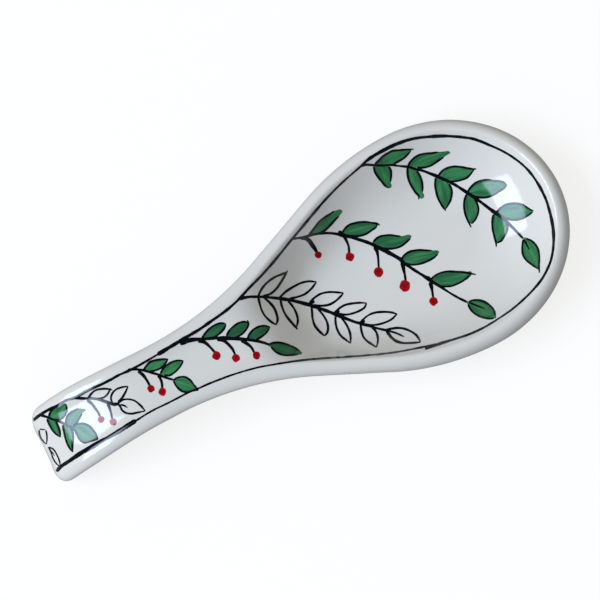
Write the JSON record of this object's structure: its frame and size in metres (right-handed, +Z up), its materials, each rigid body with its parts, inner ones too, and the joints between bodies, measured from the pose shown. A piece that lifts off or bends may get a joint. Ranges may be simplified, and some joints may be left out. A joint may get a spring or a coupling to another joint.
{
  "type": "spoon rest",
  "caption": "Spoon rest of glazed clay: an egg-shaped bowl that runs into a channelled handle with a bent-down end, painted with leaf and berry sprigs.",
  "frame": {"origin": "on the surface that the part stands on, under the middle of its length", "axes": "+X along the length from the handle towards the bowl's tip, +Y across, +Z up"},
  "size_m": [0.2452, 0.0996, 0.0267],
  "materials": {
    "glaze": "glossy off-white glaze with a few fine specks",
    "bare_clay": "bare fired clay, matte",
    "black_paint": "brushed black line under a glossy glaze",
    "green_paint": "brushed green paint under a glossy glaze",
    "red_paint": "dabbed red paint under a glossy glaze"
  },
  "bodies": {
    "root": {"body": "glaze", "foot_ring": "bare_clay", "border_lines": "black_paint", "green_leaves": "green_paint", "leaf_outlines": "black_paint", "stems": "black_paint", "berries": "red_paint"}
  },
  "joints": []
}
